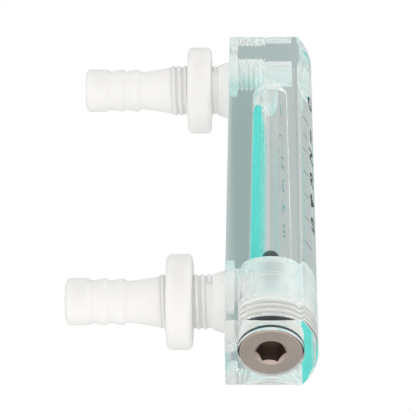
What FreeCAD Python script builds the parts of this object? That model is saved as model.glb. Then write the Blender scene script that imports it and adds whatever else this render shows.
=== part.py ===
import FreeCAD, Part

import os
import re
import Sketcher

# A clear block flowmeter for oxygen: a tapered tube is bored in an acrylic block, gas enters at the
# lower hose fitting, lifts a ball float and leaves at the upper one.
# Frame in millimetres: +Z up, the scale faces -Y, the fittings point to +Y.
# The origin lies on the block's back face, midway between the two ports.

document = FreeCAD.newDocument("oxygen_flowmeter")

# Driving dimensions
SIZES = [
    ("block_width", 20.0, "across the two flat sides"),
    ("block_depth", 20.0, "back face to the crest of the rounded front"),
    ("front_bulge", 3.4, "height of the rounded front over its corners"),
    ("block_edge", 0.4, "small bevel on the block's edges"),
    ("port_spacing", 73.0, "inlet axis to outlet axis"),
    ("inlet_above_base", 8.5, "inlet axis over the base"),
    ("outlet_below_top", 15.5, "outlet axis under the top"),
    ("tube_depth", 9.85, "tube axis in front of the back face"),
    ("tap_diameter", 14.0, "plug thread in the block"),
    ("tap_spare", 1.15, "depth of that thread beyond the plug"),
    ("mouth_step", 0.2, "smooth mouth for the plug's ring, wider than the thread on the radius"),
    ("mouth_spare", 0.35, "depth of the mouth beyond the ring's groove"),
    ("chamber_step", 0.5, "outlet chamber, narrower than the plug thread on the radius"),
    ("chamber_spare", 0.9, "chamber floor under the outlet fitting's stem"),
    ("tube_bottom_diameter", 8.2, "narrow lower end of the metering tube"),
    ("tube_taper", 0.64, "growth of the tube's radius up to its wide end"),
    ("tube_above_inlet", 8.2, "lower end of the taper over the inlet axis"),
    ("tube_end_shoulder", 0.4, "narrowing of the radius at the shoulder of the tube's round end"),
    ("tube_end_shoulder_drop", 1.8, "taper to that shoulder"),
    ("tube_end_drop", 1.4, "shoulder to the passage"),
    ("passage_diameter", 5.0, "passage that the float comes to rest on"),
    ("port_tap_diameter", 10.5, "thread that holds a fitting"),
    ("port_step", 1.0, "drilled port, narrower than its thread on the radius"),
    ("port_overrun", 5.25, "blind end of the inlet port beyond the tube axis"),
    ("seat_diameter", 14.4, "counterbore for the collar and gasket"),
    ("seat_depth", 1.9, "depth of that counterbore"),
    ("gasket_thickness", 0.9, "flat sealing ring"),
    ("gasket_clearance", 0.15, "gap around the ring, inside and outside"),
    ("collar_clearance", 0.2, "gap around the fitting's collar"),
    ("stem_clearance", 0.15, "gap around the fitting's threaded end"),
    ("stem_short", 2.1, "distance from that end to the tube axis"),
    ("stem_end_gap", 0.85, "depth of the port's thread beyond that end"),
    ("stem_bevel", 0.5, "lead bevel of the threaded end"),
    ("gas_bore", 5.5, "way through a fitting"),
    ("flare_length", 2.7, "flare from the collar to the shank"),
    ("shank_diameter", 12.2, "panel thread"),
    ("shank_end", 15.1, "outer end of the panel thread"),
    ("shank_bevel", 0.7, "bevel at that end"),
    ("neck_diameter", 10.8, "smooth neck, thick end"),
    ("neck_end_diameter", 9.0, "smooth neck, thin end"),
    ("barb_diameter", 10.36, "crests that grip the hose"),
    ("barb_root_diameter", 9.3, "grooves between the crests"),
    ("neck_length", 6.35, "length of the smooth neck"),
    ("barb_pitch", 3.8, "crest to crest"),
    ("barb_back", 1.15, "length of a crest's steep side"),
    ("barb_round", 0.5, "rounding of a crest"),
    ("tip_length", 4.8, "last crest to the tip of a fitting"),
    ("tip_round", 1.2, "rounding of the tip"),
    ("nut_diameter", 21.0, "round panel nut"),
    ("nut_thickness", 5.7, "thickness of that nut"),
    ("nut_round", 1.2, "rounding of its rims"),
    ("nut_bevel", 0.5, "bevel at its thread"),
    ("nut_clearance", 0.08, "thread clearance on the radius"),
    ("inlet_nut_gap", 4.4, "back face to the inlet nut"),
    ("outlet_nut_gap", 7.2, "back face to the outlet nut"),
    ("plug_clearance", 0.08, "gap between the steel plug and its thread in the block"),
    ("plug_length", 8.7, "length of the plug"),
    ("plug_sink", 0.15, "plug's face under the top"),
    ("plug_bevel", 0.35, "bevel of its rims"),
    ("ring_groove_top", 1.3, "groove for the sealing ring, under the plug's face"),
    ("ring_groove_height", 1.5, "height of that groove"),
    ("ring_groove_depth", 1.12, "depth of that groove"),
    ("ring_clearance", 0.03, "gap between the ring and its walls"),
    ("ring_round", 0.5, "rounding of the sealing ring"),
    ("socket_width", 5.8, "hexagon socket across its flats"),
    ("socket_depth", 4.6, "depth of the socket"),
    ("socket_bevel", 0.3, "bevel of the socket's mouth"),
    ("float_clearance", 0.15, "gap around the ball float at the narrow end of the tube"),
    ("float_gap", 0.05, "float to the outlet stem that stops it, at rest"),
]

sheet = document.addObject("Spreadsheet::Sheet", "sizes")
for row, (alias, size, note) in enumerate(SIZES, start=1):
    sheet.set(f"A{row}", alias)
    sheet.set(f"B{row}", str(size))
    sheet.set(f"C{row}", note)
    sheet.setAlias(f"B{row}", alias)
document.recompute()

# Places worked out from the sizes, as formulas of the sheet
INLET_HEIGHT = "-port_spacing / 2"
OUTLET_HEIGHT = "port_spacing / 2"
BASE_HEIGHT = "-port_spacing / 2 - inlet_above_base"
TOP_HEIGHT = "port_spacing / 2 + outlet_below_top"
SIDE_DEPTH = "(block_depth - front_bulge)"
BULGE_RADIUS = "((block_width / 2) ^ 2 + front_bulge ^ 2) / (2 * front_bulge)"
INLET_DROP = "(port_spacing + outlet_below_top)"
TAPER_END = f"({INLET_DROP} - tube_above_inlet)"
TAPER_TOP_RADIUS = "(tube_bottom_diameter / 2 + tube_taper)"
FLOAT_RADIUS = "(tube_bottom_diameter / 2 - float_clearance)"
STEM_RADIUS = "(port_tap_diameter / 2 - stem_clearance)"
STEM_REACH = "(tube_depth - stem_short)"
PORT_TAP_DEPTH = f"({STEM_REACH} + stem_end_gap)"
PORT_RADIUS = "(port_tap_diameter / 2 - port_step)"
CHAMBER_RADIUS = "(tap_diameter / 2 - chamber_step)"
CHAMBER_DEPTH = f"(outlet_below_top + {STEM_RADIUS} + chamber_spare)"
PLUG_RADIUS = "(tap_diameter / 2 - plug_clearance)"
MOUTH_RADIUS = "(tap_diameter / 2 + mouth_step)"
GROOVE_RADIUS = f"({PLUG_RADIUS} - ring_groove_depth)"
GROOVE_TOP = "(plug_sink + ring_groove_top)"
GROOVE_BOTTOM = f"({GROOVE_TOP} + ring_groove_height)"
MOUTH_DEPTH = f"({GROOVE_BOTTOM} + mouth_spare)"
TAP_DEPTH = "(plug_sink + plug_length + tap_spare)"
FIRST_BARB = "(shank_end + neck_length + barb_back)"
LAST_BARB = f"({FIRST_BARB} + 2 * barb_pitch)"
FITTING_REACH = f"({LAST_BARB} + tip_length)"
SHOULDER_DEPTH = f"({TAPER_END} + tube_end_shoulder_drop)"
COLLAR_RADIUS = "(seat_diameter / 2 - collar_clearance)"
COLLAR_FACE = "(seat_depth - gasket_thickness)"


def formula(text):
    """The text with each size's name turned into a reference to the sheet."""
    return re.sub(r"[a-z][a-z_]*\b(?!\()", r"sizes.\g<0>", text)


def value(text):
    """The number that a formula gives now."""
    return float(sheet.evalExpression(formula(text)))


def add_body(name, height=None, back=None):
    """An empty body with its name as label, moved up and back by formulas."""
    body = document.addObject("PartDesign::Body", name)
    body.Label = name
    if height:
        body.setExpression("Placement.Base.z", formula(height))
    if back:
        body.setExpression("Placement.Base.y", formula(back))
    return body


def add_sketch(body, name, role, across=None, up=None, out=None):
    """A sketch on one of the body's own planes, shifted in its own directions by formulas."""
    sketch = body.newObject("Sketcher::SketchObject", name)
    plane = next(plane for plane in body.Origin.OriginFeatures if plane.Role == role)
    sketch.AttachmentSupport = [(plane, "")]
    sketch.MapMode = "FlatFace"
    for axis, shift in (("x", across), ("y", up), ("z", out)):
        if shift:
            sketch.setExpression(f"AttachmentOffset.Base.{axis}", formula(shift))
    return sketch


def pin_coordinate(sketch, edge, kind, text):
    """Hold an edge's first point at a formula's distance from the sketch's origin along one axis."""
    number = value(text)
    if abs(number) < 1e-9:
        axis = -2 if kind == "DistanceX" else -1
        sketch.addConstraint(Sketcher.Constraint("PointOnObject", edge, 1, axis))
        return
    ends = (-1, 1, edge, 1) if number > 0 else (edge, 1, -1, 1)
    index = sketch.addConstraint(Sketcher.Constraint(kind, *ends, abs(number)))
    sign = "" if number > 0 else "-"
    sketch.setExpression(f"Constraints[{index}]", f"{sign}({formula(text)})")


def draw_outline(sketch, corners):
    """A closed outline of straight edges through corners given as pairs of formulas."""
    points = [FreeCAD.Vector(value(x), value(y), 0) for x, y in corners]
    edges = []
    for start, end in zip(points, points[1:] + points[:1]):
        edges.append(sketch.addGeometry(Part.LineSegment(start, end), False))
    for edge, following in zip(edges, edges[1:] + edges[:1]):
        sketch.addConstraint(Sketcher.Constraint("Coincident", edge, 2, following, 1))
    for edge, (x, y) in zip(edges, corners):
        pin_coordinate(sketch, edge, "DistanceX", x)
        pin_coordinate(sketch, edge, "DistanceY", y)


def turn(body, name, corners, axis, across=None, up=None, cut=False):
    """A turned solid or a turned cut: an outline in the body's YZ plane spun about an axis of its sketch."""
    sketch = add_sketch(body, f"{name}_outline", "YZ_Plane", across, up)
    draw_outline(sketch, corners)
    document.recompute()
    kind = "PartDesign::Groove" if cut else "PartDesign::Revolution"
    feature = body.newObject(kind, name)
    feature.Profile = sketch
    feature.ReferenceAxis = (sketch, [axis])
    feature.Angle = 360
    document.recompute()
    return feature


def circles(feature, direction, places):
    """Names of the round edges whose centre and radius match places, each a pair of formulas."""
    wanted = [(value(along), value(radius)) for along, radius in places]
    names = []
    for number, edge in enumerate(feature.Shape.Edges, start=1):
        curve = edge.Curve
        if not isinstance(curve, Part.Circle):
            continue
        along = curve.Center.dot(direction)
        if any(abs(along - a) < 1e-4 and abs(curve.Radius - r) < 1e-4 for a, r in wanted):
            names.append(f"Edge{number}")
    return names


def ease(body, name, kind, base, edges, size):
    """A fillet or a chamfer of a size from the sheet on named edges of a feature."""
    feature = body.newObject(f"PartDesign::{kind}", name)
    feature.Base = (base, edges)
    key = "Radius" if kind == "Fillet" else "Size"
    feature.setExpression(key, formula(size))
    document.recompute()
    return feature


def make_block():
    """The acrylic block: a flat-backed bar with a rounded front, bored from its top and its back."""
    body = add_body("meter_block")
    sketch = add_sketch(body, "block_section", "XY_Plane", out=BASE_HEIGHT)
    half = value("block_width / 2")
    side = value(SIDE_DEPTH)
    radius = value(BULGE_RADIUS)
    centre = FreeCAD.Vector(0, radius - value("block_depth"), 0)
    corners = [(half, -side), (half, 0), (-half, 0), (-half, -side)]
    points = [FreeCAD.Vector(x, y, 0) for x, y in corners]
    lines = []
    for start, end in zip(points, points[1:]):
        lines.append(sketch.addGeometry(Part.LineSegment(start, end), False))
    crest = FreeCAD.Vector(0, -value("block_depth"), 0)
    bulge = sketch.addGeometry(Part.Arc(points[3], crest, points[0]), False)
    for line, following in zip(lines, lines[1:]):
        sketch.addConstraint(Sketcher.Constraint("Coincident", line, 2, following, 1))
    sketch.addConstraint(Sketcher.Constraint("Coincident", lines[2], 2, bulge, 1))
    sketch.addConstraint(Sketcher.Constraint("Coincident", lines[0], 1, bulge, 2))
    sketch.addConstraint(Sketcher.Constraint("Vertical", lines[0]))
    sketch.addConstraint(Sketcher.Constraint("Vertical", lines[2]))
    sketch.addConstraint(Sketcher.Constraint("PointOnObject", lines[0], 2, -1))
    sketch.addConstraint(Sketcher.Constraint("Symmetric", lines[1], 1, lines[1], 2, -2))
    sketch.addConstraint(Sketcher.Constraint("PointOnObject", bulge, 3, -2))
    width = sketch.addConstraint(
        Sketcher.Constraint("DistanceX", lines[1], 2, lines[1], 1, 2 * half)
    )
    sketch.setExpression(f"Constraints[{width}]", formula("block_width"))
    depth = sketch.addConstraint(
        Sketcher.Constraint("DistanceY", lines[0], 1, lines[0], 2, side)
    )
    sketch.setExpression(f"Constraints[{depth}]", formula(SIDE_DEPTH))
    round_front = sketch.addConstraint(Sketcher.Constraint("Radius", bulge, radius))
    sketch.setExpression(f"Constraints[{round_front}]", formula(BULGE_RADIUS))
    document.recompute()

    bar = body.newObject("PartDesign::Pad", "bar")
    bar.Profile = sketch
    bar.setExpression("Length", formula(f"({TOP_HEIGHT}) - ({BASE_HEIGHT})"))
    document.recompute()
    edges = [f"Edge{number}" for number in range(1, len(bar.Shape.Edges) + 1)]
    ease(body, "block_bevels", "Chamfer", bar, edges, "block_edge")

    # The tube is bored down from the top face, so its depths are counted down from there
    tube = [
        ("0", "block_edge"),
        (MOUTH_RADIUS, "block_edge"),
        (MOUTH_RADIUS, f"-{MOUTH_DEPTH}"),
        ("tap_diameter / 2", f"-{MOUTH_DEPTH}"),
        ("tap_diameter / 2", f"-{TAP_DEPTH}"),
        (CHAMBER_RADIUS, f"-{TAP_DEPTH}"),
        (CHAMBER_RADIUS, f"-{CHAMBER_DEPTH}"),
        (TAPER_TOP_RADIUS, f"-{CHAMBER_DEPTH}"),
        ("tube_bottom_diameter / 2", f"-{TAPER_END}"),
        ("tube_bottom_diameter / 2 - tube_end_shoulder", f"-{SHOULDER_DEPTH}"),
        ("passage_diameter / 2", f"-{SHOULDER_DEPTH} - tube_end_drop"),
        ("passage_diameter / 2", f"-{INLET_DROP}"),
        ("0", f"-{INLET_DROP}"),
    ]
    turn(body, "tube", tube, "V_Axis", across="-tube_depth", up=TOP_HEIGHT, cut=True)

    # Each port is bored from the back face, the inlet to a blind end and the outlet into the chamber
    blind_ends = {"inlet_port": "(tube_depth + port_overrun)", "outlet_port": "tube_depth"}
    heights = {"inlet_port": INLET_HEIGHT, "outlet_port": OUTLET_HEIGHT}
    for name, blind_end in blind_ends.items():
        port = [
            ("block_edge", "0"),
            ("block_edge", "seat_diameter / 2"),
            ("-seat_depth", "seat_diameter / 2"),
            ("-seat_depth", "port_tap_diameter / 2"),
            (f"-{PORT_TAP_DEPTH}", "port_tap_diameter / 2"),
            (f"-{PORT_TAP_DEPTH}", PORT_RADIUS),
            (f"-{blind_end}", PORT_RADIUS),
            (f"-{blind_end}", "0"),
        ]
        turn(body, name, port, "H_Axis", up=heights[name], cut=True)
    return body


def make_fitting(name, height):
    """A moulded hose fitting: threaded stem, collar, flare, panel thread, neck and three barbs."""
    body = add_body(name, height)
    bore = "gas_bore / 2"
    shank = "shank_diameter / 2"
    neck = "neck_diameter / 2"
    crest = "barb_diameter / 2"
    root = "barb_root_diameter / 2"
    corners = [
        (f"-{STEM_REACH}", bore),
        (f"-{STEM_REACH}", f"{STEM_RADIUS} - stem_bevel"),
        (f"-{STEM_REACH} + stem_bevel", STEM_RADIUS),
        (f"-{COLLAR_FACE}", STEM_RADIUS),
        (f"-{COLLAR_FACE}", COLLAR_RADIUS),
        ("0", COLLAR_RADIUS),
        ("flare_length", shank),
        ("shank_end - shank_bevel", shank),
        ("shank_end", neck),
        (f"{FIRST_BARB} - barb_back", "neck_end_diameter / 2"),
    ]
    crests = [FIRST_BARB, f"{FIRST_BARB} + barb_pitch", LAST_BARB]
    for place, following in zip(crests, crests[1:]):
        corners.append((place, crest))
        corners.append((f"{following} - barb_back", root))
    corners += [(LAST_BARB, crest), (FITTING_REACH, crest), (FITTING_REACH, bore)]
    turned = turn(body, f"{name}_turned", corners, "H_Axis")
    rims = circles(turned, FreeCAD.Vector(0, 1, 0), [(place, crest) for place in crests])
    eased = ease(body, f"{name}_crests", "Fillet", turned, rims, "barb_round")
    tip = circles(eased, FreeCAD.Vector(0, 1, 0), [(FITTING_REACH, crest)])
    ease(body, f"{name}_tip", "Fillet", eased, tip, "tip_round")
    return body


def make_nut(name, height, gap):
    """A round panel nut with softly rounded rims."""
    body = add_body(name, height, gap)
    bore = "shank_diameter / 2 + nut_clearance"
    corners = [
        ("0", f"{bore} + nut_bevel"),
        ("nut_bevel", bore),
        ("nut_thickness - nut_bevel", bore),
        ("nut_thickness", f"{bore} + nut_bevel"),
        ("nut_thickness", "nut_diameter / 2"),
        ("0", "nut_diameter / 2"),
    ]
    turned = turn(body, f"{name}_turned", corners, "H_Axis")
    places = [("0", "nut_diameter / 2"), ("nut_thickness", "nut_diameter / 2")]
    rims = circles(turned, FreeCAD.Vector(0, 1, 0), places)
    ease(body, f"{name}_rims", "Fillet", turned, rims, "nut_round")
    return body


def make_gasket(name, height):
    """A flat sealing ring on the floor of the counterbore, under the fitting's collar."""
    body = add_body(name, height)
    inner = f"{STEM_RADIUS} + gasket_clearance"
    outer = "seat_diameter / 2 - gasket_clearance"
    corners = [
        ("-seat_depth", inner),
        ("-seat_depth", outer),
        (f"-{COLLAR_FACE}", outer),
        (f"-{COLLAR_FACE}", inner),
    ]
    turn(body, f"{name}_turned", corners, "H_Axis")
    return body


def make_plug():
    """The steel plug: a threaded cylinder with a sealing groove and a hexagon socket."""
    body = add_body("top_plug", TOP_HEIGHT, "-tube_depth")
    corners = [
        ("0", "-plug_sink"),
        (f"{PLUG_RADIUS} - plug_bevel", "-plug_sink"),
        (PLUG_RADIUS, "-plug_sink - plug_bevel"),
        (PLUG_RADIUS, f"-{GROOVE_TOP}"),
        (GROOVE_RADIUS, f"-{GROOVE_TOP}"),
        (GROOVE_RADIUS, f"-{GROOVE_BOTTOM}"),
        (PLUG_RADIUS, f"-{GROOVE_BOTTOM}"),
        (PLUG_RADIUS, "-plug_sink - plug_length + plug_bevel"),
        (f"{PLUG_RADIUS} - plug_bevel", "-plug_sink - plug_length"),
        ("0", "-plug_sink - plug_length"),
    ]
    turn(body, "plug_turned", corners, "V_Axis")
    sketch = add_sketch(body, "socket_section", "XY_Plane", out="-plug_sink")
    corner = "socket_width / sqrt(3)"
    half_flat = "socket_width / 2"
    half_side = "socket_width / sqrt(12)"
    hexagon = [
        ("0", corner),
        (half_flat, half_side),
        (half_flat, f"-{half_side}"),
        ("0", f"-{corner}"),
        (f"-{half_flat}", f"-{half_side}"),
        (f"-{half_flat}", half_side),
    ]
    draw_outline(sketch, hexagon)
    document.recompute()
    socket = body.newObject("PartDesign::Pocket", "socket")
    socket.Profile = sketch
    socket.setExpression("Length", formula("socket_depth"))
    document.recompute()
    bevel = [
        ("0", "-plug_sink"),
        (f"{corner} + socket_bevel", "-plug_sink"),
        ("0", f"-plug_sink - {corner} - socket_bevel"),
    ]
    turn(body, "socket_mouth", bevel, "V_Axis", cut=True)
    return body


def make_plug_ring():
    """The black ring in the plug's groove, pressed flat where it meets the mouth's wall."""
    body = add_body("plug_o_ring", TOP_HEIGHT, "-tube_depth")
    inner = f"{GROOVE_RADIUS} + ring_clearance"
    outer = f"{MOUTH_RADIUS} - ring_clearance"
    top = f"-{GROOVE_TOP} - ring_clearance"
    bottom = f"-{GROOVE_BOTTOM} + ring_clearance"
    corners = [(inner, bottom), (outer, bottom), (outer, top), (inner, top)]
    turned = turn(body, "ring_turned", corners, "V_Axis")
    edges = [f"Edge{number}" for number, edge in enumerate(turned.Shape.Edges, start=1)
             if isinstance(edge.Curve, Part.Circle)]
    ease(body, "ring_round_edges", "Fillet", turned, edges, "ring_round")
    return body


def make_float():
    """The ball float in the tube, just under the end of the outlet fitting's stem, which stops it."""
    ball = document.addObject("Part::Sphere", "float_ball")
    ball.Label = "float_ball"
    ball.setExpression("Radius", formula(FLOAT_RADIUS))
    ball.setExpression("Placement.Base.y", formula("-tube_depth"))
    drop = f"sqrt({FLOAT_RADIUS} ^ 2 - (stem_short + stem_bevel) ^ 2)"
    height = f"{OUTLET_HEIGHT} - {STEM_RADIUS} - {drop} - float_gap"
    ball.setExpression("Placement.Base.z", formula(height))
    document.recompute()
    return ball


pieces = [make_block()]
for end, height in (("inlet", INLET_HEIGHT), ("outlet", OUTLET_HEIGHT)):
    pieces.append(make_fitting(f"{end}_fitting", height))
    pieces.append(make_nut(f"{end}_nut", height, f"{end}_nut_gap"))
    pieces.append(make_gasket(f"{end}_gasket", height))
pieces += [make_plug(), make_plug_ring(), make_float()]

document.recompute()
for item in document.Objects:
    if {"Invalid", "Error"} & set(item.State):
        raise RuntimeError(f"{item.Name} failed: {item.State}")

os.makedirs("parts", exist_ok=True)
for piece in pieces:
    shape = piece.Shape
    if shape.isNull() or not shape.isValid() or len(shape.Solids) != 1:
        raise RuntimeError(f"{piece.Label} is not one valid solid")
    shape.exportStep(f"parts/{piece.Label}.step")
    print(f"{piece.Label}: {shape.Volume:.1f} mm3")
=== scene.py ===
import math

import bmesh
import bpy
from mathutils import Matrix, Vector


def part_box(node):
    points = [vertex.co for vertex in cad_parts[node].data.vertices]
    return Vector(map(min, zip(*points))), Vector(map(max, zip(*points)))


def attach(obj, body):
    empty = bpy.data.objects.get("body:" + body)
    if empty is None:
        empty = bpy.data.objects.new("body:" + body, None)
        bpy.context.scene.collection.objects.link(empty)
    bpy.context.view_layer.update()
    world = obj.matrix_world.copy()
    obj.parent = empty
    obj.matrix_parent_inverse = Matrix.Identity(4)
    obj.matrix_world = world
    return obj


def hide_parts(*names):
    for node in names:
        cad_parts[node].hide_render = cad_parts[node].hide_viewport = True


bl_info = {
    "name": "Oxygen flowmeter",
    "version": (1, 0, 0),
    "blender": (4, 5, 0),
    "location": "View3D > Sidebar > Flowmeter",
    "description": "Dresses the clear block flowmeter in its fittings, threads, prints and finishes",
    "category": "Object",
}

# The packed model is the fixed frame. Its boxes give the axes and the outer sizes.
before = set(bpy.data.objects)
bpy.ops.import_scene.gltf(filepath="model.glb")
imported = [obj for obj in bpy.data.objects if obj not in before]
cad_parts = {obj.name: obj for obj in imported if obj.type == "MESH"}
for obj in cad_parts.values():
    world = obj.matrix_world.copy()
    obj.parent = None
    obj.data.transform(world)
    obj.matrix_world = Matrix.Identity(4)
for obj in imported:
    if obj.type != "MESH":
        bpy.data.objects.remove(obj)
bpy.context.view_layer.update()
BLOCK_LOW, BLOCK_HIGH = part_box("meter_block")
PLUG_LOW, PLUG_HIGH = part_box("top_plug")
RING_LOW, RING_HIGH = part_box("plug_o_ring")
INLET_LOW, INLET_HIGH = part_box("inlet_fitting")
OUTLET_LOW, OUTLET_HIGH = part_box("outlet_fitting")
INLET_NUT_LOW, INLET_NUT_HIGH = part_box("inlet_nut")
OUTLET_NUT_LOW, OUTLET_NUT_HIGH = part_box("outlet_nut")

MM = 0.001
BLOCK_TOP = BLOCK_HIGH.z
BLOCK_BASE = BLOCK_LOW.z
BLOCK_WIDTH = BLOCK_HIGH.x - BLOCK_LOW.x
BLOCK_DEPTH = BLOCK_HIGH.y - BLOCK_LOW.y
TUBE_AXIS = Vector((0, (PLUG_LOW.y + PLUG_HIGH.y) / 2, 0))
INLET_AXIS = Vector((0, 0, (INLET_LOW.z + INLET_HIGH.z) / 2))
OUTLET_AXIS = Vector((0, 0, (OUTLET_LOW.z + OUTLET_HIGH.z) / 2))
UP = Vector((0, 0, 1))
OUT = Vector((0, 1, 0))
ACROSS = Vector((1, 0, 0))
ROUND_STEPS = 128
HELIX_STEPS = 48
FRONT_STEPS = 64
SHARP_ANGLE = math.radians(30)

# Where a bored thread's ridge leaves its foot, has its crest and is back at its foot, in shares of the pitch
RIDGE_SHARES = (0.06, 0.42, 0.58, 0.94)
# The same for a wound ridge, whose two sides also go under the shank's surface
HELIX_SHARES = (0.04, 0.1, 0.44, 0.56, 0.9, 0.96)
HELIX_SUNK = 0.15 * MM
HELIX_RUN_OUT = 0.02 * MM

# Heights of the drill's rings over the chamber's floor
TOOL_RINGS = (5.5 * MM, 4.7 * MM, 1.4 * MM, 0.7 * MM)
SOCKET_TURN = math.radians(-4)

# Middles of the scale numbers, from 0 upwards, and of the scale marks, over the origin
NUMBER_HEIGHTS = (-25.9 * MM, -14.1 * MM, -6.6 * MM, 1.4 * MM, 9.0 * MM, 16.7 * MM)
MARK_HEIGHTS = {
    "zero": -16.2 * MM,
    "one": -10.1 * MM,
    "two": -4.9 * MM,
    "three": 2.9 * MM,
    "four": 10.7 * MM,
    "five": 18.1 * MM,
    "end": 26.4 * MM,
}
# Font size for each unit of a number's height, and how much wider than the font the numbers are
FONT_FILL = 1.4
DIGIT_STRETCH = 1.2

# The camera as solved from the photograph
FOCAL_LENGTH = 181.95
SENSOR_WIDTH = 36.0
CAMERA_PLACE = Vector((326.05, -8.25, 362.11)) * MM
CAMERA_RIGHT = Vector((-0.01777, -0.99965, -0.01949))
CAMERA_UP = Vector((0.73751, 0.00006, -0.67534))
CAMERA_BACK = Vector((0.67511, -0.02637, 0.73725))

FLOOR_REACH = 4.0
FLOOR_DROP = 0.3
# The floor's painted shade, a soft shadow as if the block lay on it, runs across Y between these places, with
# these tints at shares of the way
SHADE_FROM = -0.025
SHADE_TO = 0.012
SHADE_ENDS = ((0.18, (0.43, 0.475, 0.47)), (0.95, (0.53, 0.555, 0.555)))
SHADE_MIDDLE = ((0.34, (0.278, 0.372, 0.366)), (0.76, (0.278, 0.372, 0.366)))
# The room is dim on one side and bright on the other, and brighter for light that has met a matt surface.
# A direction's share of the way is its part along the bright side, between these two limits.
BRIGHT_SIDE = (0.85, 0.0, -0.2)
SHARE_FROM = -0.75
SHARE_TO = 0.9
DIM_ROOM = (0.38, 0.46, 0.46)
BRIGHT_ROOM = (1.06, 1.06, 1.05)
DIM_ROOM_SPREAD = (1.01, 1.0, 0.985)
BRIGHT_ROOM_SPREAD = (1.29, 1.285, 1.2675)
WHITE = (1.0, 1.0, 1.0)
# Name, place, width and power of the lamps
LAMPS = (("key", (0.7, -0.15, 0.0), 0.5, 0.3), ("fill", (-0.2, -0.5, 0.7), 0.5, 0.15))


def length(name, description, default):
    """A size property in metres, shown in the scene's own unit."""
    return bpy.props.FloatProperty(
        name=name, description=description, default=default, min=0.0, unit="LENGTH", subtype="DISTANCE",
        precision=5,
    )


def colour(name, description, default):
    """A colour property."""
    return bpy.props.FloatVectorProperty(
        name=name, description=description, default=default, size=3, min=0.0, max=1.0, subtype="COLOR",
    )


class BlockSizes(bpy.types.PropertyGroup):
    """Sizes of the acrylic block and the ways bored in it."""

    bulge: length("Front bulge", "Height of the rounded front over its corners", 3.4 * MM)
    edge_round: length("Edge rounding", "Rounding of the block's long edges", 0.6 * MM)
    end_round: length("End rounding", "Rounding of the block's ends", 0.2 * MM)
    mouth_radius: length("Mouth radius", "Smooth mouth that the plug's ring seals in", 7.2 * MM)
    mouth_depth: length("Mouth depth", "Depth of the smooth mouth", 3.3 * MM)
    tap_radius: length("Thread radius", "Root of the plug's thread in the block", 7.08 * MM)
    tap_depth: length("Thread depth", "End of the plug's thread under the top", 10.0 * MM)
    tap_pitch: length("Thread pitch", "Ridge to ridge of the plug's thread", 1.5 * MM)
    tap_height: length("Thread height", "Height of the ridges of that thread", 0.75 * MM)
    chamber_radius: length("Chamber radius", "Outlet chamber", 6.5 * MM)
    chamber_depth: length("Chamber depth", "Chamber floor under the top", 21.5 * MM)
    ring_width: length("Tool ring width", "Width of the drill's rings in the chamber", 0.3 * MM)
    ring_cut: length("Tool ring cut", "Depth of those rings", 0.12 * MM)
    tube_top_radius: length("Tube top radius", "Wide end of the tapered tube", 4.74 * MM)
    tube_bottom_radius: length("Tube bottom radius", "Narrow end of the tapered tube", 4.1 * MM)
    tube_end_depth: length("Tube end", "Narrow end of the tube under the top", 80.3 * MM)
    shoulder_radius: length("Shoulder radius", "Shoulder of the tube's round end", 3.7 * MM)
    shoulder_drop: length("Shoulder drop", "Height from that shoulder to the narrow end", 1.8 * MM)
    tube_end_drop: length("Tube end drop", "Height from the passage to that shoulder", 1.4 * MM)
    tube_end_round: length("Tube end rounding", "Rounding at the tube's narrow end", 4.5 * MM)
    shoulder_round: length("Shoulder rounding", "Rounding at that shoulder", 2.2 * MM)
    passage_radius: length("Passage radius", "Passage from the inlet port to the tube", 2.5 * MM)
    port_radius: length("Port radius", "Drilled port", 4.25 * MM)
    port_depth: length("Port depth", "Blind end of the inlet port", 15.1 * MM)
    port_tap_radius: length("Port thread radius", "Root of the thread that holds a fitting", 5.25 * MM)
    port_tap_depth: length("Port thread depth", "End of that thread", 8.6 * MM)
    port_tap_height: length("Port thread height", "Height of its ridges", 0.6 * MM)
    port_tap_pitch: length("Port thread pitch", "Ridge to ridge of that thread", 1.1 * MM)
    seat_radius: length("Seat radius", "Counterbore for collar and gasket", 7.24 * MM)
    seat_depth: length("Seat depth", "Depth of the counterbore", 1.94 * MM)


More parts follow.
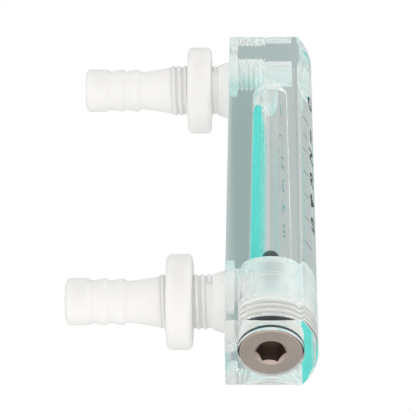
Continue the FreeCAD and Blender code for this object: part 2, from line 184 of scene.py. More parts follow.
class FittingSizes(bpy.types.PropertyGroup):
    """Sizes of the hose fittings and their nuts."""

    bore: length("Bore radius", "Way through a fitting", 2.75 * MM)
    stem_radius: length("Stem radius", "Crests of the stem's thread", 5.1 * MM)
    stem_reach: length("Stem reach", "Inner end in front of the back face", 7.75 * MM)
    stem_bevel: length("Stem bevel", "Lead bevel of the stem", 0.5 * MM)
    collar_radius: length("Collar radius", "Collar on the gasket", 7.0 * MM)
    collar_face: length("Collar face", "Depth of the collar in its counterbore", 1.0 * MM)
    flare: length("Flare", "Length of the flare behind the collar", 2.7 * MM)
    shank_radius: length("Shank radius", "Crests of the panel thread", 6.1 * MM)
    shank_end: length("Shank end", "Outer end of the panel thread", 15.1 * MM)
    shank_bevel: length("Shank bevel", "Bevel of the panel thread's end", 0.7 * MM)
    pitch: length("Panel thread pitch", "Ridge to ridge of the panel thread", 1.45 * MM)
    stem_pitch: length("Stem thread pitch", "Ridge to ridge of the stem's thread", 1.1 * MM)
    thread_height: length("Thread height", "Height of the ridges", 0.42 * MM)
    thread_lead: length("Thread lead", "Start of a thread's ridge from the end of its shank", 0.1 * MM)
    undercut: length("Undercut", "Height from the shank's crest to its root beside the flare", 0.3 * MM)
    neck_radius: length("Neck radius", "Thick end of the smooth neck", 5.4 * MM)
    neck_end_radius: length("Neck end radius", "Thin end of the smooth neck", 4.5 * MM)
    first_barb: length("First barb", "Crest nearest the block", 22.6 * MM)
    barb_pitch: length("Barb pitch", "Crest to crest", 3.8 * MM)
    barb_back: length("Barb back", "Length of a crest's steep side", 1.15 * MM)
    barb_radius: length("Barb radius", "Crests that grip the hose", 5.18 * MM)
    barb_root: length("Barb root", "Grooves between the crests", 4.65 * MM)
    barb_round: length("Barb rounding", "Rounding of a crest", 0.4 * MM)
    tip_round: length("Tip rounding", "Rounding of the tip", 1.2 * MM)
    nut_round: length("Nut rounding", "Rounding of a nut's rims", 1.2 * MM)
    nut_bore: length("Nut bore", "Root of a nut's thread", 6.18 * MM)
    nut_bevel: length("Nut bevel", "Bevel at the nut's thread", 0.5 * MM)


class PlugSizes(bpy.types.PropertyGroup):
    """Sizes of the steel plug and its ring."""

    bevel: length("Bevel", "Bevel of the plug's rims", 0.25 * MM)
    rim_gap: length("Rim gap", "How much narrower the plug's rim is than its thread", 0.16 * MM)
    groove_top: length("Groove top", "Ring groove under the plug's face", 1.3 * MM)
    groove_height: length("Groove height", "Height of the ring groove", 1.5 * MM)
    groove_radius: length("Groove radius", "Bottom of the ring groove", 5.8 * MM)
    thread_height: length("Thread height", "Height of the plug's ridges", 0.7 * MM)
    thread_lead: length("Thread lead", "Height from the groove down to the thread's root", 0.2 * MM)
    socket_width: length("Socket width", "Hexagon socket across its flats", 5.8 * MM)
    socket_depth: length("Socket depth", "Depth of the socket", 4.6 * MM)
    socket_bevel: length("Socket bevel", "Bevel of the socket's mouth", 0.3 * MM)
    ring_radius: length("Ring radius", "Outside of the ring where it presses on the block", 7.23 * MM)
    ring_gap: length("Ring gap", "Gap from the ring to the bottom of its groove", 0.03 * MM)
    ring_inner_round: length("Ring inner rounding", "Rounding of the ring towards the plug", 0.4 * MM)
    ring_outer_round: length("Ring outer rounding", "Rounding of the ring at its flattened side", 0.12 * MM)


class PrintSizes(bpy.types.PropertyGroup):
    """Sizes of the scale and the painted stripe."""

    digit_height: length("Digit height", "Height of the scale numbers", 4.3 * MM)
    digit_place: length("Digit place", "Middle of the numbers, measured round the front", 4.6 * MM)
    digit_weight: length("Digit weight", "How much bolder than the font the numbers are", 0.08 * MM)
    digit_cut: length("Digit cut", "Width of the strips in which a number follows the front", 0.4 * MM)
    film: length("Film", "Thickness of ink and paint over the surface", 0.02 * MM)
    key_in: length("Key-in", "Depth to which ink and paint key into the acrylic", 0.03 * MM)
    mark_width: length("Mark width", "Width of a scale mark", 0.3 * MM)
    mark_place: length("Mark place", "Outer end of the marks, measured round the front", 9.2 * MM)
    mark_length: length("Mark length", "Length of a scale mark", 2.0 * MM)
    end_mark_length: length("End mark length", "Length of the first and the last mark", 3.4 * MM)
    stripe_left: length("Stripe left", "Reach of the stripe from the middle towards -X", 8.2 * MM)
    stripe_right: length("Stripe right", "Reach of the stripe from the middle towards +X", 8.6 * MM)
    stripe_top: length("Stripe top", "Upper end of the stripe under the block's top", 24.0 * MM)
    stripe_bottom: length("Stripe bottom", "Lower end of the stripe under the block's top", 79.5 * MM)


class FinishColours(bpy.types.PropertyGroup):
    """Colours of the finishes."""

    acrylic: colour("Acrylic", "Tint of the clear block", (0.985, 0.995, 0.993))
    stripe: colour("Stripe", "Painted stripe behind the tube", (0.11, 0.76, 0.69))
    backing: colour("Backing", "Light coat over the stripe, away from the tube", (0.72, 0.76, 0.75))
    ink: colour("Ink", "Scale numbers", (0.012, 0.016, 0.016))
    mark: colour("Mark", "Scale marks", (0.2, 0.22, 0.22))
    nylon: colour("Nylon", "Fittings and nuts", (0.86, 0.85, 0.835))
    steel: colour("Steel", "Top plug", (0.76, 0.59, 0.53))
    # Painted light and shade: the plug from its ring groove down, thread included, wears a lighter copy of
    # the steel, and the socket walls and the rim's side a darker copy.
    thread: colour("Plug thread", "Lighter steel of the plug's thread", (0.84, 0.78, 0.75))
    socket: colour("Socket", "Darkened walls of the plug's socket and rim", (0.3, 0.225, 0.19))
    rubber: colour("Rubber", "Sealing ring", (0.02, 0.02, 0.021))
    silicone: colour("Silicone", "Gaskets", (0.86, 0.86, 0.84))
    float_ball: colour("Float", "Ball float", (0.015, 0.015, 0.017))


PROPERTY_GROUPS = {
    "flowmeter_block": BlockSizes,
    "flowmeter_fitting": FittingSizes,
    "flowmeter_plug": PlugSizes,
    "flowmeter_print": PrintSizes,
    "flowmeter_finish": FinishColours,
}


# Shapes


def turned(outline, centre, axis, closed=False, steps=ROUND_STEPS, rounds=()):
    """Spin an outline once round an axis.

    An outline point is (radius, place along the axis). A round is (number of the point, radius, segments).
    """
    bm = bmesh.new()
    verts = [bm.verts.new(centre + ACROSS * radius + axis * along) for radius, along in outline]
    for pair in zip(verts, verts[1:] + verts[:1] if closed else verts[1:]):
        bm.edges.new(pair)
    for index, radius, segments in rounds:
        vert = verts[index]
        first, second = (edge.other_vert(vert).co - vert.co for edge in vert.link_edges)
        corner = first.angle(second)
        bmesh.ops.bevel(
            bm, geom=[vert], offset=radius / math.tan(corner / 2), offset_type="OFFSET", segments=segments,
            profile=0.5, affect="VERTICES", material=-1,
        )
    bmesh.ops.spin(
        bm, geom=bm.verts[:] + bm.edges[:], cent=centre, axis=axis, angle=math.tau, steps=steps,
        use_merge=True, use_duplicate=False,
    )
    bmesh.ops.remove_doubles(bm, verts=bm.verts[:], dist=1e-7)
    bmesh.ops.recalc_face_normals(bm, faces=bm.faces[:])
    return bm


def thread_ridges(low, high, root, crest, pitch):
    """Outline points of a run of thread ridges from low to high along the axis."""
    count = int((high - low) / pitch)
    start = low + ((high - low) - count * pitch) / 2
    profile = tuple(zip((root, crest, crest, root), RIDGE_SHARES))
    points = []
    for turn in range(count):
        foot = start + turn * pitch
        points += [(radius, foot + share * pitch) for radius, share in profile]
    return points


def helix_ridge(bm, centre, axis, low, high, root, crest, pitch):
    """Add a screw thread's ridge, wound round an axis from low to high, with its ends run out to the root."""
    sunk = root - HELIX_SUNK
    profile = zip((sunk, root, crest, crest, root, sunk), HELIX_SHARES)
    points = [centre + ACROSS * radius + axis * (low + share * pitch) for radius, share in profile]
    verts = [bm.verts.new(point) for point in points]
    edges = [bm.edges.new(pair) for pair in zip(verts, verts[1:] + verts[:1])]
    cap = bmesh.ops.contextual_create(bm, geom=edges)["faces"]
    turns = (high - low) / pitch - 1
    count = int(turns * HELIX_STEPS)
    result = bmesh.ops.spin(
        bm, geom=edges, cent=centre, axis=axis, dvec=axis * (pitch / HELIX_STEPS),
        angle=math.tau * count / HELIX_STEPS, steps=count, use_merge=False, use_duplicate=False,
    )
    last = [item for item in result["geom_last"] if isinstance(item, bmesh.types.BMEdge)]
    cap += bmesh.ops.contextual_create(bm, geom=last)["faces"]
    for face in cap:
        for vert in face.verts:
            offset = vert.co - centre
            along = axis * offset.dot(axis)
            spoke = offset - along
            if spoke.length > root:
                vert.co = centre + along + spoke.normalized() * (root - HELIX_RUN_OUT)


def bar_with_round_front(width, depth, bulge, low, high, rounding, end_rounding):
    """The block's blank: a flat-backed bar with a rounded front and eased edges."""
    bm = bmesh.new()
    side = -(depth - bulge)
    radius = ((width / 2) ** 2 + bulge**2) / (2 * bulge)
    centre = Vector((0, radius - depth, low))
    corner = bm.verts.new((width / 2, side, low))
    half_angle = math.asin(width / 2 / radius)
    arc = bmesh.ops.spin(
        bm, geom=[corner], cent=centre, axis=-UP, angle=2 * half_angle, steps=FRONT_STEPS, use_merge=False,
        use_duplicate=False,
    )
    far_corner = next(item for item in arc["geom_last"] if isinstance(item, bmesh.types.BMVert))
    backs = []
    for vert in (corner, far_corner):
        grown = bmesh.ops.extrude_vert_indiv(bm, verts=[vert])["verts"]
        bmesh.ops.translate(bm, verts=grown, vec=(0, -side, 0))
        backs += grown
    bmesh.ops.contextual_create(bm, geom=backs)
    section = bmesh.ops.contextual_create(bm, geom=bm.edges[:])["faces"]
    grown = bmesh.ops.extrude_face_region(bm, geom=section)["geom"]
    top = [item for item in grown if isinstance(item, bmesh.types.BMVert)]
    bmesh.ops.translate(bm, verts=top, vec=UP * (high - low))
    bmesh.ops.recalc_face_normals(bm, faces=bm.faces[:])
    # The long edges first, and then the edges round the two ends
    for along, offset in ((True, rounding), (False, end_rounding)):
        edges = [
            edge for edge in bm.edges
            if edge.calc_face_angle(0) > math.radians(20)
            and (abs(edge.verts[0].co.z - edge.verts[1].co.z) > offset) == along
        ]
        bmesh.ops.bevel(
            bm, geom=edges, offset=offset, offset_type="OFFSET", segments=6, profile=0.5, affect="EDGES",
            material=-1,
        )
    return bm


# Pieces


def add_piece(name, bm, materials, body=None):
    """Turn a finished bmesh into a piece with smooth shading, and let it ride on a body."""
    mesh = bpy.data.meshes.new(name)
    for face in bm.faces:
        face.smooth = True
    bm.to_mesh(mesh)
    bm.free()
    mesh.set_sharp_from_angle(angle=SHARP_ANGLE)
    for material in materials:
        mesh.materials.append(material)
    piece = bpy.data.objects.new(name, mesh)
    bpy.context.scene.collection.objects.link(piece)
    if body:
        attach(piece, body)
    return piece


def carve(piece, cutters):
    """Cut the cutters out of a piece for good, keeping each cutter's finish on the faces that it leaves."""
    for cutter in cutters:
        for material in cutter.data.materials:
            if material.name not in piece.data.materials:
                piece.data.materials.append(material)
        cut = piece.modifiers.new(cutter.name, "BOOLEAN")
        cut.operation = "DIFFERENCE"
        cut.solver = "EXACT"
        cut.material_mode = "TRANSFER"
        cut.object = cutter
    depsgraph = bpy.context.evaluated_depsgraph_get()
    carved = bpy.data.meshes.new_from_object(piece.evaluated_get(depsgraph))
    blank = piece.data
    piece.modifiers.clear()
    piece.data = carved
    carved.name = blank.name
    bpy.data.meshes.remove(blank)
    for cutter in cutters:
        mesh = cutter.data
        bpy.data.objects.remove(cutter)
        bpy.data.meshes.remove(mesh)


# Finishes


class NodeBuilder:
    """Builds a node tree a node at a time."""

    def __init__(self, tree):
        self.nodes = tree.nodes
        self.links = tree.links

    def add(self, kind, inputs=None, **settings):
        """A node with its settings, and its inputs linked or set."""
        node = self.nodes.new(kind)
        for name, value in settings.items():
            setattr(node, name, value)
        for name, value in (inputs or {}).items():
            if isinstance(value, bpy.types.NodeSocket):
                self.links.new(value, node.inputs[name])
            else:
                node.inputs[name].default_value = value
        return node

    def spread(self, source, low, high, start=0.0, end=1.0):
        """Map a value's range from start..end to low..high."""
        inputs = {"Value": source, "From Min": start, "From Max": end, "To Min": low, "To Max": high}
        return self.add("ShaderNodeMapRange", inputs).outputs["Result"]

    def mixed(self, share, first, second):
        """A colour between two colours by a share."""
        node = self.nodes.new("ShaderNodeMix")
        node.data_type = "RGBA"
        self.links.new(share, node.inputs["Factor"])
        for name, value in (("A", first), ("B", second)):
            socket = next(s for s in node.inputs if s.name == name and s.type == "RGBA")
            if isinstance(value, bpy.types.NodeSocket):
                self.links.new(value, socket)
            else:
                socket.default_value = (*value, 1.0)
        return next(s for s in node.outputs if s.type == "RGBA")


class Finish(NodeBuilder):
    """A node material on Object coordinates."""

    def __init__(self, name):
        self.material = bpy.data.materials.new(name)
        self.material.use_nodes = True
        super().__init__(self.material.node_tree)
        self.shader = self.nodes["Principled BSDF"]
        self.place = self.add("ShaderNodeTexCoord").outputs["Object"]

    def set(self, **values):
        """Set sockets of the shader by their names, with spaces as underscores."""
        for name, value in values.items():
            socket = self.shader.inputs[name.replace("_", " ")]
            socket.default_value = (*value, 1.0) if socket.type == "RGBA" else value

    def feed(self, name, source):
        """Link a value to one of the shader's sockets."""
        self.links.new(source, self.shader.inputs[name])

    def noise(self, scale, detail=3.0, roughness=0.5, stretch=(1, 1, 1)):
        """Noise between 0 and 1 on Object coordinates."""
        place = self.add("ShaderNodeMapping", {"Vector": self.place, "Scale": stretch}).outputs["Vector"]
        inputs = {"Vector": place, "Scale": scale, "Detail": detail, "Roughness": roughness}
        return self.add("ShaderNodeTexNoise", inputs).outputs["Fac"]

    def bump(self, height, strength, distance):
        """Bump the surface by a height value."""
        inputs = {"Height": height, "Strength": strength, "Distance": distance}
        self.feed("Normal", self.add("ShaderNodeBump", inputs).outputs["Normal"])


def shade(tint, factor):
    """A tint made darker or lighter by a factor."""
    return tuple(min(1.0, channel * factor) for channel in tint)


def clear_acrylic():
    """Polished cast acrylic with faint haze and hairline rubs."""
    finish = Finish("clear_acrylic")
    tint = bpy.context.scene.flowmeter_finish.acrylic
    finish.set(Transmission_Weight=1.0, IOR=1.49)
    cloud = finish.noise(60.0, detail=2.0)
    finish.feed("Base Color", finish.mixed(cloud, shade(tint, 0.985), shade(tint, 1.01)))
    rubs = finish.noise(900.0, detail=4.0, stretch=(1, 1, 0.06))
    finish.feed("Roughness", finish.spread(rubs, 0.0, 0.045, 0.45, 0.8))
    return finish.material


def bored_acrylic(name, rough, clear, tool_rings=False):
    """Acrylic as a boring tool leaves it: hazy or frosted, or smooth with fine rings."""
    finish = Finish(name)
    tint = bpy.context.scene.flowmeter_finish.acrylic
    finish.set(Transmission_Weight=clear, IOR=1.49)
    cloud = finish.noise(120.0, detail=2.0)
    finish.feed("Base Color", finish.mixed(cloud, shade(tint, 0.985), shade(tint, 1.01)))
    finish.feed("Roughness", finish.spread(cloud, rough * 0.7, rough * 1.3))
    if tool_rings:
        rings = finish.noise(2500.0, detail=2.0, stretch=(0.02, 0.02, 1))
        finish.bump(rings, 0.05, 0.05 * MM)
    return finish.material


def moulded_nylon():
    """Milky moulded nylon with a soft skin."""
    finish = Finish("moulded_nylon")
    tint = bpy.context.scene.flowmeter_finish.nylon
    finish.set(Subsurface_Weight=0.35, Subsurface_Radius=(1.0, 0.95, 0.85), Subsurface_Scale=0.0012)
    cloud = finish.noise(150.0, detail=3.0)
    finish.feed("Base Color", finish.mixed(cloud, shade(tint, 0.96), shade(tint, 1.02)))
    grain = finish.noise(2500.0, detail=2.0)
    finish.feed("Roughness", finish.spread(grain, 0.3, 0.46))
    finish.bump(grain, 0.12, 0.03 * MM)
    return finish.material


def turned_steel(name, tint):
    """Steel with the fine rings of the lathe and a little wear."""
    finish = Finish(name)
    finish.set(Metallic=1.0)
    # The rings are noise that changes only with the distance from the plug's axis
    centred = finish.add("ShaderNodeMapping", {"Vector": finish.place, "Location": -TUBE_AXIS})
    flat = finish.add(
        "ShaderNodeVectorMath", {0: centred.outputs["Vector"], 1: (1, 1, 0)}, operation="MULTIPLY"
    )
    radius = finish.add("ShaderNodeVectorMath", {0: flat.outputs["Vector"]}, operation="LENGTH")
    spread = finish.add("ShaderNodeCombineXYZ", {"X": radius.outputs["Value"]}).outputs["Vector"]
    noise = {"Vector": spread, "Scale": 9000.0, "Detail": 3.0}
    rings = finish.add("ShaderNodeTexNoise", noise).outputs["Fac"]
    stain = finish.noise(260.0, detail=4.0, roughness=0.6)
    finish.feed("Base Color", finish.mixed(stain, shade(tint, 0.86), shade(tint, 1.1)))
    finish.feed("Roughness", finish.spread(stain, 0.42, 0.6))
    finish.bump(rings, 0.25, 0.02 * MM)
    return finish.material


def soft_rubber(name, tint, low, high):
    """Moulded rubber or silicone with a fine dry grain."""
    finish = Finish(name)
    grain = finish.noise(3000.0, detail=3.0)
    finish.feed("Base Color", finish.mixed(grain, shade(tint, 0.9), shade(tint, 1.12)))
    finish.feed("Roughness", finish.spread(grain, low, high))
    finish.bump(grain, 0.15, 0.02 * MM)
    return finish.material


def printed(name, tint):
    """A printed or painted film with slight wear."""
    finish = Finish(name)
    wear = finish.noise(700.0, detail=4.0, roughness=0.6)
    finish.feed("Base Color", finish.mixed(wear, shade(tint, 0.9), shade(tint, 1.15)))
    finish.feed("Roughness", finish.spread(wear, 0.35, 0.55))
    return finish.material


def dress_node(node, material):
    """Give a CAD node that stays a better finish."""
    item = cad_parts[node]
    if not item.material_slots:
        item.data.materials.append(material)
    for slot in item.material_slots:
        slot.material = material


# Operators


def mouth_outline(size):
    """The way in from the top: the smooth mouth and the plug's thread."""
    minor = size.tap_radius - size.tap_height
    ridges = thread_ridges(-size.tap_depth, -size.mouth_depth, size.tap_radius, minor, size.tap_pitch)
    return [
        (0, size.edge_round),
        (size.mouth_radius, size.edge_round),
        (size.mouth_radius, -size.mouth_depth),
        (size.tap_radius, -size.mouth_depth),
        *reversed(ridges),
        (size.tap_radius, -size.tap_depth),
        (0, -size.tap_depth),
    ]


def chamber_outline(size, start):
    """The outlet chamber with the drill's rings in its wall."""
    half = size.ring_width / 2
    rings = []
    for height in TOOL_RINGS:
        ring = -size.chamber_depth + height
        rings += [
            (size.chamber_radius, ring + half),
            (size.chamber_radius + size.ring_cut, ring),
            (size.chamber_radius, ring - half),
        ]
    return [
        (0, start),
        (size.chamber_radius, start),
        *rings,
        (size.chamber_radius, -size.chamber_depth),
        (0, -size.chamber_depth),
    ]


def tube_outline(size, start):
    """The tapered tube, its round narrow end and the passage down to the inlet port."""
    shoulder = -size.tube_end_depth - size.shoulder_drop
    inlet_depth = BLOCK_TOP - INLET_AXIS.z
    return [
        (0, start),
        (size.tube_top_radius, start),
        (size.tube_bottom_radius, -size.tube_end_depth),
        (size.shoulder_radius, shoulder),
        (size.passage_radius, shoulder - size.tube_end_drop),
        (size.passage_radius, -inlet_depth),
        (0, -inlet_depth),
    ]


def port_outline(size, blind_end):
    """A port from the back: counterbore, thread and drilled end."""
    minor = size.port_tap_radius - size.port_tap_height
    ridges = thread_ridges(
        -size.port_tap_depth, -size.seat_depth, size.port_tap_radius, minor, size.port_tap_pitch
    )
    return [
        (0, size.edge_round),
        (size.seat_radius, size.edge_round),
        (size.seat_radius, -size.seat_depth),
        (size.port_tap_radius, -size.seat_depth),
        *reversed(ridges),
        (size.port_tap_radius, -size.port_tap_depth),
        (size.port_radius, -size.port_tap_depth),
        (size.port_radius, -blind_end),
        (0, -blind_end),
    ]


class FLOWMETER_OT_block(bpy.types.Operator):
    """Make the clear block with its bores, taps and polished edges"""

    bl_idname = "flowmeter.block"
    bl_label = "Acrylic block"

    def execute(self, context):
        size = context.scene.flowmeter_block
        polished = clear_acrylic()
        tube_wall = bored_acrylic("reamed_acrylic", 0.03, 1.0, tool_rings=True)
        drilled = bored_acrylic("drilled_acrylic", 0.45, 0.6)
        chamber_wall = bored_acrylic("chamber_acrylic", 0.5, 0.4)
        tapped = bored_acrylic("tapped_acrylic", 0.4, 0.35)
        smooth_mouth = bored_acrylic("mouth_acrylic", 0.3, 0.75)
        blank = bar_with_round_front(
            BLOCK_WIDTH, BLOCK_DEPTH, size.bulge, BLOCK_BASE, BLOCK_TOP, size.edge_round, size.end_round
        )
        block = add_piece("acrylic_block", blank, [polished], "meter")

        # Each bore starts a little inside the one before it
        overlap = 0.05 * MM
        top = TUBE_AXIS + UP * BLOCK_TOP
        way_in = turned(mouth_outline(size), top, UP)
        for face in way_in.faces:
            face.material_index = 1 if face.calc_center_median().z > BLOCK_TOP - size.mouth_depth else 0
        chamber = turned(chamber_outline(size, -size.tap_depth + overlap), top, UP)
        ends = [(2, size.tube_end_round, 4), (3, size.shoulder_round, 4)]
        bore = turned(tube_outline(size, -size.chamber_depth + overlap), top, UP, rounds=ends)
        for face in bore.faces:
            face.material_index = 1 if face.calc_center_median().z < BLOCK_TOP - size.tube_end_depth else 0
        cutters = [
            add_piece("mouth_cutter", way_in, [tapped, smooth_mouth]),
            add_piece("chamber_cutter", chamber, [chamber_wall]),
            add_piece("tube_cutter", bore, [tube_wall, drilled]),
        ]
        ports = {"inlet": (INLET_AXIS, size.port_depth), "outlet": (OUTLET_AXIS, -TUBE_AXIS.y)}
        for name, (axis, blind_end) in ports.items():
            port = turned(port_outline(size, blind_end), axis, OUT)
            cutters.append(add_piece(f"{name}_cutter", port, [drilled]))
        carve(block, cutters)
        block.data.set_sharp_from_angle(angle=SHARP_ANGLE)
        weighted = block.modifiers.new("flat_faces", "WEIGHTED_NORMAL")
        weighted.mode = "FACE_AREA"
        weighted.weight = 100
        weighted.keep_sharp = True
        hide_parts("meter_block")
        return {"FINISHED"}


class FLOWMETER_OT_plug(bpy.types.Operator):
    """Make the steel plug with its thread, its hexagon socket and its sealing ring"""

    bl_idname = "flowmeter.plug"
    bl_label = "Top plug"

    def execute(self, context):
        size = context.scene.flowmeter_plug
        pitch = context.scene.flowmeter_block.tap_pitch
        radius = (PLUG_HIGH.x - PLUG_LOW.x) / 2
        rim = radius - size.rim_gap
        face = PLUG_HIGH.z - BLOCK_TOP
        end = PLUG_LOW.z - BLOCK_TOP
        groove_end = face - size.groove_top - size.groove_height
        root = radius - size.thread_height
        thread_start = groove_end - size.thread_lead
        clear = 0.05 * MM
        ridges = thread_ridges(end + size.bevel, groove_end, root, radius, pitch)
        outline = [
            (0, face),
            (rim - size.bevel, face),
            (rim, face - size.bevel),
            (rim, face - size.groove_top),
            (size.groove_radius, face - size.groove_top),
            (size.groove_radius, groove_end),
            (radius, groove_end),
            (root, thread_start),
            *[point for point in reversed(ridges) if point[1] < thread_start - clear],
            (root, end + size.bevel),
            (root - size.bevel, end),
            (0, end),
        ]
        tint = context.scene.flowmeter_finish
        steel = turned_steel("turned_steel", tint.steel)
        painted_shade_steel = turned_steel("socket_steel_painted_shade", tint.socket)
        painted_light_steel = turned_steel("threaded_steel_painted_light", tint.thread)
        top = TUBE_AXIS + UP * BLOCK_TOP
        body = turned(outline, top, UP)
        # Painted light and shade: faces from the ring groove down get the lighter copy of the steel, and the
        # rim's side the darker one.
        for part in body.faces:
            height = part.calc_center_median().z - BLOCK_TOP - face
            if height < -size.groove_top:
                part.material_index = 1
            elif height < -size.bevel:
                part.material_index = 2
        plug = add_piece("steel_plug", body, [steel, painted_light_steel, painted_shade_steel], "meter")
        hexagon = size.socket_width / math.sqrt(3)
        socket = bmesh.new()
        bmesh.ops.create_cone(
            socket, cap_ends=True, segments=6, radius1=hexagon, radius2=hexagon, depth=size.socket_depth * 2,
        )
        bmesh.ops.rotate(socket, verts=socket.verts[:], matrix=Matrix.Rotation(SOCKET_TURN, 3, "Z"))
        bmesh.ops.translate(socket, verts=socket.verts[:], vec=top + UP * face)
        corner = hexagon + size.socket_bevel
        beyond = corner / 10
        mouth = [(0, face + beyond), (corner + beyond, face + beyond), (0, face - corner)]
        # Painted shade: the socket's walls keep the darker copy of the steel.
        cutters = [
            add_piece("socket_cutter", socket, [painted_shade_steel]),
            add_piece("socket_mouth_cutter", turned(mouth, top, UP, steps=48), [steel]),
        ]
        carve(plug, cutters)
        plug.data.set_sharp_from_angle(angle=SHARP_ANGLE)
        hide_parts("top_plug")

        inner = size.groove_radius + size.ring_gap
        low, high = RING_LOW.z - BLOCK_TOP, RING_HIGH.z - BLOCK_TOP
        outline = [(inner, low), (size.ring_radius, low), (size.ring_radius, high), (inner, high)]
        soft = [
            (0, size.ring_inner_round, 5),
            (1, size.ring_outer_round, 3),
            (2, size.ring_outer_round, 3),
            (3, size.ring_inner_round, 5),
        ]
        rubber = soft_rubber("black_rubber", tint.rubber, 0.4, 0.6)
        bm = turned(outline, top, UP, closed=True, rounds=soft)
        ring = add_piece("sealing_ring", bm, [rubber], "meter")
        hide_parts("plug_o_ring")
        return {"FINISHED"}


class FLOWMETER_OT_fittings(bpy.types.Operator):
    """Make the two hose fittings, threaded at both ends of the collar and barbed at the tip"""

    bl_idname = "flowmeter.fittings"
    bl_label = "Hose fittings"

    def execute(self, context):
        size = context.scene.flowmeter_fitting
        nylon = moulded_nylon()
        reach = INLET_HIGH.y
        stem_root = size.stem_radius - size.thread_height
        shank_root = size.shank_radius - size.thread_height
        # The ridge runs out on the bevel at the shank's end
        shank_thread_end = size.shank_end - size.shank_bevel * 0.4
        crests = [size.first_barb + size.barb_pitch * turn for turn in range(3)]
        outline = [
            (size.bore, -size.stem_reach),
            (stem_root - size.stem_bevel, -size.stem_reach),
            (stem_root, -size.stem_reach + size.stem_bevel),
            (stem_root, -size.collar_face),
            (size.collar_radius, -size.collar_face),
            (size.collar_radius, 0),
            (size.shank_radius, size.flare),
            (shank_root, size.flare + size.undercut),
            (shank_root, size.shank_end - size.shank_bevel),
            (size.neck_radius, size.shank_end),
            (size.neck_end_radius, size.first_barb - size.barb_back),
        ]
        rounds = []
        for crest, following in zip(crests, crests[1:]):
            rounds.append((len(outline), size.barb_round, 5))
            outline += [(size.barb_radius, crest), (size.barb_root, following - size.barb_back)]
        rounds.append((len(outline), size.barb_round, 5))
        outline.append((size.barb_radius, crests[-1]))
        rounds.append((len(outline), size.tip_round, 8))
        outline += [(size.barb_radius, reach), (size.bore, reach)]
        for name, axis in (("inlet", INLET_AXIS), ("outlet", OUTLET_AXIS)):
            bm = turned(outline, axis, OUT, closed=True, rounds=rounds)
            helix_ridge(
                bm, axis, OUT, size.flare + size.thread_lead, shank_thread_end, shank_root, size.shank_radius,
                size.pitch,
            )
            helix_ridge(
                bm, axis, OUT, -size.stem_reach + size.thread_lead, -size.collar_face, stem_root,
                size.stem_radius, size.stem_pitch,
            )
            bmesh.ops.recalc_face_normals(bm, faces=bm.faces[:])
            fitting = add_piece(f"{name}_hose_fitting", bm, [nylon], "meter")
            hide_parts(f"{name}_fitting")
        return {"FINISHED"}


class FLOWMETER_OT_nuts(bpy.types.Operator):
    """Make the two round panel nuts"""

    bl_idname = "flowmeter.nuts"
    bl_label = "Panel nuts"

    def execute(self, context):
        size = context.scene.flowmeter_fitting
        nylon = bpy.data.materials["moulded_nylon"]
        nuts = {
            "inlet": (INLET_NUT_LOW, INLET_NUT_HIGH, INLET_AXIS, "lower_nut"),
            "outlet": (OUTLET_NUT_LOW, OUTLET_NUT_HIGH, OUTLET_AXIS, "upper_nut"),
        }
        for name, (low, high, axis, body) in nuts.items():
            radius = (high.x - low.x) / 2
            outline = [
                (size.nut_bore + size.nut_bevel, low.y),
                (size.nut_bore, low.y + size.nut_bevel),
                (size.nut_bore, high.y - size.nut_bevel),
                (size.nut_bore + size.nut_bevel, high.y),
                (radius, high.y),
                (radius, low.y),
            ]
            soft = [(4, size.nut_round, 10), (5, size.nut_round, 10)]
            bm = turned(outline, axis, OUT, closed=True, rounds=soft)
            nut = add_piece(f"{name}_panel_nut", bm, [nylon], body)
            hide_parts(f"{name}_nut")
        return {"FINISHED"}


class FLOWMETER_OT_inside(bpy.types.Operator):
    """Finish the gaskets and the float"""

    bl_idname = "flowmeter.inside"
    bl_label = "Gaskets and float"

    def execute(self, context):
        tint = context.scene.flowmeter_finish
        silicone = soft_rubber("white_silicone", tint.silicone, 0.4, 0.55)
        for node in ("inlet_gasket", "outlet_gasket"):
            dress_node(node, silicone)
        dress_node("float_ball", soft_rubber("float_gloss", tint.float_ball, 0.12, 0.2))
        return {"FINISHED"}


def wrap_on_front(bm, block):
    """Lay a flat print on the rounded front: its X goes round the bulge, its Z is height over the surface."""
    radius = ((BLOCK_WIDTH / 2) ** 2 + block.bulge**2) / (2 * block.bulge)
    for vert in bm.verts:
        angle = vert.co.x / radius
        far = radius + vert.co.z
        vert.co = Vector((far * math.sin(angle), radius - BLOCK_DEPTH - far * math.cos(angle), vert.co.y))


def flat_number(context, number, size):
    """A number of the plain font as a flat closed film, upright in X and Y, with its middle at the origin."""
    text = bpy.data.curves.new("digit", "FONT")
    text.body = str(number)
    text.size = size.digit_height * FONT_FILL
    text.align_x = "CENTER"
    text.align_y = "CENTER"
    text.offset = size.digit_weight
    text.extrude = (size.film + size.key_in) / 2
    writer = bpy.data.objects.new("digit", text)
    context.scene.collection.objects.link(writer)
    mesh = bpy.data.meshes.new_from_object(writer.evaluated_get(context.evaluated_depsgraph_get()))
    bpy.data.objects.remove(writer)
    bpy.data.curves.remove(text)
    bm = bmesh.new()
    bm.from_mesh(mesh)
    bpy.data.meshes.remove(mesh)
    bmesh.ops.remove_doubles(bm, verts=bm.verts[:], dist=1e-7)
    bmesh.ops.scale(bm, verts=bm.verts[:], vec=(DIGIT_STRETCH, 1, 1))
    return bm


